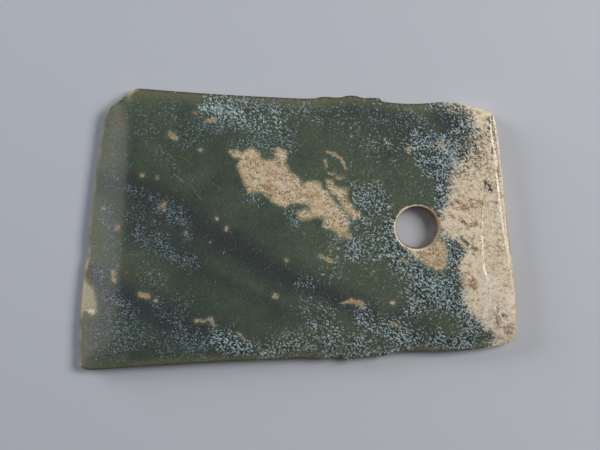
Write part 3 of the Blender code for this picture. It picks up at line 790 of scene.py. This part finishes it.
# Painted shade on the walls of the top and bottom edges.
RIM_SHADE_BROWN = (0.060, 0.050, 0.026, 1)
LIP_CREAM = (1.0, 0.84, 0.62, 1)
LIP_TAN = (0.50, 0.33, 0.19, 1)
BORE_BROWN = (0.30, 0.18, 0.10, 1)
BORE_SHADE_NAVY = (0.06, 0.065, 0.09, 1)
FLECK_SIZE = 0.50 * MM
FLECK_LARGE = 0.85 * MM
FLECK_TONE = 0.55 * MM
CLUSTER_SIZE = 3.4 * MM
MOTTLE_SIZE = 14 * MM
WANDER_SIZE = 2.6 * MM
WANDER_REACH = 1.0 * MM
CREAM_GRAIN = 1.7 * MM
BLOT_SIZE = 2.0 * MM
VEIN_SIZE = 3.4 * MM
SWIRL_SIZE = 2.6 * MM
BUSY_SIZE = 5.5 * MM
CRUMB_SIZE = 0.72 * MM
CRUMBS = [(0.57, 0.65, CRUMB_ORANGE), (0.59, 0.67, WHITE_AND_HIGHLIGHT), (0.45, 0.38, CRUMB_GREY)]
SPRINKLE_SIZE = 0.65 * MM
SPRINKLE_SPREAD = 6 * MM
STREAK_SIZE = 1.3 * MM
DARK_PIT_SIZE = 0.9 * MM
RUST_SIZE = 1.5 * MM
UPPER_HALF = (4 * MM, 5 * MM)
LIP_REACH = (9.55 * MM, 9.0 * MM)
LIP_LUMP = 2.2 * MM
LIP_WANDER = 1.6 * MM
BORE_RADIUS = 8.9 * MM
BORE_TOP = (6.0 * MM, 5.2 * MM)
LEDGE_HEIGHT = (2.7 * MM, 3.1 * MM)
STONE_ROUGHNESS = 0.19
FLECK_ROUGHNESS = 0.33
RIDGE_POLISH = -0.14
STONE_IOR = 1.66
BUMP_STRENGTH = 0.35
BUMP_DEPTH = 0.05 * MM

stone = bpy.data.materials.new("weathered_jadeite")
stone.use_nodes = True
shader = stone.node_tree.nodes["Principled BSDF"]
wires = Wiring(stone.node_tree)
maths, times, swing, ramp, mix = wires.maths, wires.times, wires.swing, wires.ramp, wires.mix
trait, lumps = wires.trait, wires.lumps

where = node(stone.node_tree, "ShaderNodeTexCoord").outputs["Object"]
height_now = wires.parts(where)["Z"]
wander = lumps(where, WANDER_SIZE, outlet="Color")
drifted = wires.vector("MULTIPLY_ADD", wander, (WANDER_REACH,) * 3, where)
turned = node(stone.node_tree, "ShaderNodeMapping", vector_type="TEXTURE")
wires.put(turned.inputs["Vector"], drifted)
wires.put(turned.inputs["Rotation"], (0, 0, GRAIN_SLANT))
wires.put(turned.inputs["Scale"], GRAIN_STRETCH)
slanted = turned.outputs[0]

# The pale flecks: fine noise shows where it passes a gate that each place sets by how pale it is.
cluster = lumps(where, CLUSTER_SIZE, 2.0, 0.6)
pale = times(swing(cluster, 0.55, trait("pale")), ramp(trait("pale"), 0.0, 0.12))
pale = maths("SUBTRACT", pale, times(trait("cove"), 0.62))
warmth = ramp(swing(cluster, 0.5, trait("warm")), 0.08, 0.92)
small_grain = swing(lumps(slanted, FLECK_SIZE, 0.5), 0.9, 0.5)
grain_one = swing(lumps(slanted, FLECK_LARGE, 0.5), ramp(trait("bright"), 0.5, 1.0, 0.35, 0.9), small_grain)
fine = ramp(grain_one, 0.2, 0.8)
flecks = ramp(maths("SUBTRACT", fine, maths("SUBTRACT", 1.0, pale)), -0.05, 0.15)
strength = times(ramp(lumps(where, FLECK_TONE), 0.32, 0.68), trait("bright"))

# The green stone under them, its bands, painted glow through its thin edges, dark pits between crowded
# flecks.
mottle = lumps(where, MOTTLE_SIZE, 3.0, 0.6)
clearness = swing(trait("bright"), 0.45, mottle, about=0.45)
green = mix(ramp(clearness, 0.3, 0.7), DEEP_GREEN, CLEAR_GREEN)
green = mix(trait("dark"), green, NAVY_SHADE)
green = mix(times(trait("thin_edge_glow"), ramp(trait("dark"), 0.0, 0.9, 1.0, 0.5)), green, OLIVE_EDGE_GLOW)
green = mix(times(trait("halo"), ramp(mottle, 0.3, 0.6, 0.5, 1.0)), green, HALO_TAN)
green = mix(trait("chip"), green, CHIP_PALE)
green = mix(trait("rim_shade_line"), green, RIM_SHADE_BROWN)
green = mix(1.0, green, ramp(grain_one, 0.25, 0.75, 0.82, 1.2), "MULTIPLY")
crowded = ramp(trait("pale"), 0.14, 0.45)
calm = times(ramp(trait("halo"), 0.0, 0.5, 1.0, 0.15), trait("pit"))
green = mix(times(ramp(fine, 0.50, 0.30), crowded, calm), green, SKIN_PIT)
under_cream = mix(trait("speckled"), BUTT_BROWN, BUTT_GREY)
under_cream = mix(ramp(trait("halo"), 0.0, 0.4), under_cream, HALO_TAN)
green = mix(times(warmth, 0.85), green, under_cream)

# The weathered cream, with its stains, veins, swirls, crumbs and specks, and a painted highlight along the
# butt's rim and outer ridge.
cream_grain = lumps(slanted, CREAM_GRAIN, 3.0, 0.65)
cream = mix(ramp(cream_grain, 0.30, 0.52), CREAM_MID, CREAM_LIGHT)
cream = mix(trait("tan"), cream, TAN)
# Whitened weathering, and a painted highlight along the butt's rim and outer ridge.
cream = mix(times(trait("white_and_highlight"), ramp(mottle, 0.3, 0.55)), cream, WHITE_AND_HIGHLIGHT)
blot = ramp(lumps(slanted, BLOT_SIZE, 3.0, 0.7), 0.47, 0.60)
cream = mix(times(trait("stain"), blot), cream, STAIN)
vein = maths("ABSOLUTE", maths("SUBTRACT", lumps(slanted, VEIN_SIZE, 3.0, 0.6, 0.6), 0.5))
vein = times(ramp(vein, 0.045, 0.0), ramp(trait("stain"), 0.1, 0.5, 0.2, 1.0))
cream = mix(vein, cream, VEIN_BROWN)
swirl = ramp(lumps(where, SWIRL_SIZE, 3.0, 0.65, 1.4), 0.56, 0.44)
cream = mix(times(swirl, ramp(trait("patchy"), 0.0, 1.0, 0.12, 0.45)), cream, SWIRL_ORANGE)
busy = ramp(lumps(where, BUSY_SIZE, 2.0), 0.42, 0.56, 0.25, 1.0)
busy = times(busy, ramp(trait("patchy"), 0.0, 1.0, 0.35, 1.0))
crumb_kinds = wires.parts(lumps(drifted, CRUMB_SIZE, 1.5, 0.6, outlet="Color"))
for kind, (low, high, tone) in zip(crumb_kinds, CRUMBS):
    cream = mix(times(busy, ramp(kind, low, high)), cream, tone)
sprinkle = ramp(lumps(drifted, SPRINKLE_SIZE), 0.37, 0.31)
sprinkle = times(sprinkle, ramp(lumps(where, SPRINKLE_SPREAD, 2.0), 0.42, 0.60, 0.08, 0.85))
cream = mix(sprinkle, cream, CREAM_SPECK)

# Flecks, stone and cream laid together, then the dark clusters, the pits and the rust.
fleck_colour = mix(warmth, mix(strength, FLECK_DULL, FLECK_BRIGHT), cream)
colour = mix(flecks, green, fleck_colour)
streaks = ramp(lumps(slanted, STREAK_SIZE, 1.5, 0.6), 0.56, 0.48)
colour = mix(times(streaks, trait("cluster")), colour, SKIN_PIT)
dark_pits = ramp(lumps(drifted, DARK_PIT_SIZE), 0.385, 0.345)
colour = mix(times(dark_pits, trait("speckled")), colour, SKIN_PIT)
rusty = ramp(lumps(where, RUST_SIZE), 0.73, 0.78, 0.0, 0.6)
colour = mix(times(rusty, ramp(height_now, *UPPER_HALF)), colour, RUST_SPECK)
colour = mix(times(trait("rust"), ramp(grain_one, 0.3, 0.5, 0.4, 1.0)), colour, RUST)

# The worn lip, and the wall of the hole: brown above its ledge and painted dark navy shade below it.
beside_axis = wires.vector("SUBTRACT", where, (*HOLE_CENTRE, 0))
axis_distance = wires.vector("LENGTH", wires.vector("MULTIPLY", beside_axis, (1, 1, 0)), outlet="Value")
lip = ramp(swing(lumps(where, LIP_LUMP, 2.0), LIP_WANDER, axis_distance), *LIP_REACH)
lip_colour = mix(ramp(wires.parts(beside_axis)["X"], 0.0, 7 * MM), LIP_CREAM, LIP_TAN)
colour = mix(times(lip, ramp(cream_grain, 0.25, 0.4)), colour, lip_colour)
bore = times(maths("LESS_THAN", axis_distance, BORE_RADIUS), ramp(height_now, *BORE_TOP))
# Painted shade: dark navy on the wall below the ledge, deep in the hole.
bore_colour = mix(ramp(height_now, *LEDGE_HEIGHT), BORE_SHADE_NAVY, BORE_BROWN)
bore_colour = mix(ramp(cream_grain, 0.4, 0.6, 0.0, 0.5), bore_colour, CREAM_MID)
colour = mix(bore, colour, bore_colour)
colour = mix(times(trait("edge_line"), ramp(cream_grain, 0.3, 0.5)), colour, EDGE_ORANGE)

# Each scratch, and each painted shade line beside the butt's low step, is a short straight line that comes
# and goes.
scratch_and_shade_line = bpy.data.node_groups.new("scratch_and_shade_line", "ShaderNodeTree")
for name, kind in (("Place", "Vector"), ("Start", "Vector"), ("Run", "Vector"), ("Width", "Float")):
    scratch_and_shade_line.interface.new_socket(name, in_out="INPUT", socket_type="NodeSocket" + kind)
scratch_and_shade_line.interface.new_socket("Share", in_out="OUTPUT", socket_type="NodeSocketFloat")
entry = node(scratch_and_shade_line, "NodeGroupInput").outputs
lines = Wiring(scratch_and_shade_line)
from_start = lines.vector("SUBTRACT", entry["Place"], entry["Start"])
along = lines.maths(
    "DIVIDE", lines.vector("DOT_PRODUCT", from_start, entry["Run"], outlet="Value"),
    lines.vector("DOT_PRODUCT", entry["Run"], entry["Run"], outlet="Value"), clamp=True,
)
reached = lines.vector("MULTIPLY", entry["Run"], along)
away = lines.vector("LENGTH", lines.vector("SUBTRACT", from_start, reached), outlet="Value")
thinned = lines.ramp(lines.maths("DIVIDE", away, entry["Width"]), 1.0, 0.3)
broken = lines.ramp(lines.lumps(entry["Place"], 0.9 * MM), 0.42, 0.54)
lines.put(node(scratch_and_shade_line, "NodeGroupOutput").inputs[0], lines.times(thinned, broken))
flat_drift = wires.vector("MULTIPLY", drifted, (1, 1, 0))
for x0, y0, x1, y1, tone in SCRATCHES_AND_SHADE_LINES:
    used = node(stone.node_tree, "ShaderNodeGroup", node_tree=scratch_and_shade_line)
    wires.put(used.inputs["Place"], flat_drift)
    wires.put(used.inputs["Start"], (x0 * MM, y0 * MM, 0))
    wires.put(used.inputs["Run"], ((x1 - x0) * MM, (y1 - y0) * MM, 0))
    wires.put(used.inputs["Width"], SCRATCH_AND_SHADE_WIDTH)
    colour = mix(times(used.outputs["Share"], ramp(height_now, *UPPER_HALF, 0.0, 0.6)), colour, tone)

wires.put(shader.inputs["Base Color"], colour)
rough = ramp(flecks, 0.0, 1.0, STONE_ROUGHNESS, FLECK_ROUGHNESS)
wires.put(shader.inputs["Roughness"], maths("MULTIPLY_ADD", trait("ridge"), RIDGE_POLISH, rough))
wires.put(shader.inputs["IOR"], STONE_IOR)
bump = node(stone.node_tree, "ShaderNodeBump")
wires.put(bump.inputs["Strength"], BUMP_STRENGTH)
wires.put(bump.inputs["Distance"], BUMP_DEPTH)
wires.put(bump.inputs["Height"], times(fine, crowded))
wires.put(shader.inputs["Normal"], bump.outputs["Normal"])

# The ground skin
# Grinding left long low waves in both faces and softened the joins of the bevel. The pale weathered
# stone is a little rougher and pitted. One node tree lays this relief over the whole blade.

SMOOTHING_PASSES = 90
WAVE_HEIGHT = 0.05 * MM
WAVE_LENGTH = 20 * MM
PIT_DEPTH = 0.05 * MM
PIT_SIZE = 1.6 * MM
PIT_CONTRAST = 5.0

skin = bpy.data.node_groups.new("ground_skin", "GeometryNodeTree")
for name, kind in (
    ("Geometry", "Geometry"), ("Smoothing passes", "Int"), ("Wave height", "Float"), ("Wave length", "Float"),
    ("Pit depth", "Float"), ("Pit size", "Float"), ("Stone", "Material"),
):
    skin.interface.new_socket(name, in_out="INPUT", socket_type="NodeSocket" + kind)
skin.interface.new_socket("Geometry", in_out="OUTPUT", socket_type="NodeSocketGeometry")
given = node(skin, "NodeGroupInput").outputs
relief = Wiring(skin)


def stored(name):
    """One of the blade's traits, as the relief reads it."""
    made = node(skin, "GeometryNodeInputNamedAttribute", data_type="FLOAT")
    made.inputs["Name"].default_value = name
    return made.outputs["Attribute"]


def passed(kind, **inlets):
    """The outlet of a node that changes the blade's mesh."""
    made = node(skin, kind)
    for name, value in inlets.items():
        relief.put(made.inputs[name], value)
    return made.outputs[0]


spot = node(skin, "GeometryNodeInputPosition").outputs[0]
spot_x, spot_y, spot_z = relief.parts(spot)
blur = node(skin, "GeometryNodeBlurAttribute", data_type="FLOAT")
relief.put([socket for socket in blur.inputs if socket.name == "Value" and socket.enabled][0], spot_z)
relief.put(blur.inputs["Iterations"], given["Smoothing passes"])
relief.put(blur.inputs["Weight"], stored("ground"))
smoothed = [socket for socket in blur.outputs if socket.enabled][0]
wave = relief.maths("SUBTRACT", relief.lumps(spot, given["Wave length"]), 0.5)
wave = relief.times(wave, given["Wave height"])
hollow = relief.maths("SUBTRACT", relief.lumps(spot, given["Pit size"], 2.0), 0.5)
hollow = relief.times(relief.maths("MAXIMUM", hollow, 0.0), PIT_CONTRAST, given["Pit depth"], stored("warm"))
lift = relief.times(relief.maths("SUBTRACT", wave, hollow), stored("side"), stored("ground"))
lifted = passed("ShaderNodeCombineXYZ", X=spot_x, Y=spot_y, Z=relief.maths("ADD", smoothed, lift))
moved = passed("GeometryNodeSetPosition", Geometry=given["Geometry"], Position=lifted)
real = passed("GeometryNodeRealizeInstances", Geometry=moved)
coated = passed("GeometryNodeSetMaterial", Geometry=real, Material=given["Stone"])
relief.put(node(skin, "NodeGroupOutput").inputs[0], coated)

modifier = blade.modifiers.new("ground_skin", "NODES")
modifier.node_group = skin
sockets = {item.name: item.identifier for item in skin.interface.items_tree if item.in_out == "INPUT"}
for name, value in (
    ("Smoothing passes", SMOOTHING_PASSES), ("Wave height", WAVE_HEIGHT), ("Wave length", WAVE_LENGTH),
    ("Pit depth", PIT_DEPTH), ("Pit size", PIT_SIZE), ("Stone", stone),
):
    modifier[sockets[name]] = value
evaluated = blade.evaluated_get(bpy.context.evaluated_depsgraph_get())
finished_mesh = bpy.data.meshes.new_from_object(evaluated)
blade.modifiers.clear()
blade.data = finished_mesh

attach(blade, "root")
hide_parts("axe_head")

# The floor, the lights and the camera
# The blade lies flat on a plain pale floor. One soft lamp lights it from the right, a low cool one from
# the left, and a weak high one lays a sheen on the bevel. The camera looks straight down on it.

FLOOR_COLOUR = (0.632, 0.655, 0.726, 1)
FLOOR_REACH = 2.0
FLOOR_DROP = 0.0001
KEY_COLOUR = (1.0, 0.98, 0.938)
LOW_COLOUR = (0.89, 0.96, 1.04)
SOFT_LAMPS = [
    ("key_lamp", 20, 41, 1.15, 0.53, 8.6, KEY_COLOUR), ("veil_lamp", 180, 57, 1.2, 0.5, 0.68, KEY_COLOUR),
    ("low_lamp", 150, 16, 1.3, 0.65, 10.4, LOW_COLOUR),
]
SKY_COLOUR = (0.97, 0.98, 1, 1)
SKY_BRIGHTNESS = 0.055
CAMERA_PLACE = (0.0011, 0.00172, 0.5533)
CAMERA_LENS = 82.5

floor_mesh = bpy.data.meshes.new("floor")
reach, drop = FLOOR_REACH, -FLOOR_DROP
floor_corners = [(-reach, -reach, drop), (reach, -reach, drop), (reach, reach, drop), (-reach, reach, drop)]
floor_mesh.from_pydata(floor_corners, [], [(0, 1, 2, 3)])
floor = bpy.data.objects.new("floor", floor_mesh)
bpy.context.scene.collection.objects.link(floor)
floor_paper = bpy.data.materials.new("floor_paper")
floor_paper.use_nodes = True
floor_shader = floor_paper.node_tree.nodes["Principled BSDF"]
floor_shader.inputs["Base Color"].default_value = FLOOR_COLOUR
floor_shader.inputs["Roughness"].default_value = 0.9
floor_shader.inputs["Specular IOR Level"].default_value = 0.0
floor_mesh.materials.append(floor_paper)


def soft_lamp(name, turn, rise, away, size, power, colour):
    """A square lamp that looks at the blade's middle, from a turn and rise in degrees, metres away."""
    lamp = bpy.data.lights.new(name, "AREA")
    lamp.shape = "SQUARE"
    lamp.size = size
    lamp.energy = power
    lamp.color = colour
    holder = bpy.data.objects.new(name, lamp)
    bpy.context.scene.collection.objects.link(holder)
    turn, rise = math.radians(turn), math.radians(rise)
    towards = Vector((math.cos(turn) * math.cos(rise), math.sin(turn) * math.cos(rise), math.sin(rise)))
    holder.location = towards * away
    holder.rotation_euler = towards.to_track_quat("Z", "Y").to_euler()


for lamp_values in SOFT_LAMPS:
    soft_lamp(*lamp_values)

world = bpy.data.worlds.new("studio")
world.use_nodes = True
world.node_tree.nodes["Background"].inputs["Color"].default_value = SKY_COLOUR
world.node_tree.nodes["Background"].inputs["Strength"].default_value = SKY_BRIGHTNESS
bpy.context.scene.world = world

camera_data = bpy.data.cameras.new("camera")
camera_data.lens = CAMERA_LENS
camera_data.clip_start = 0.01
camera = bpy.data.objects.new("camera", camera_data)
bpy.context.scene.collection.objects.link(camera)
camera.location = CAMERA_PLACE
bpy.context.scene.camera = camera
bpy.context.scene.view_settings.view_transform = "Standard"
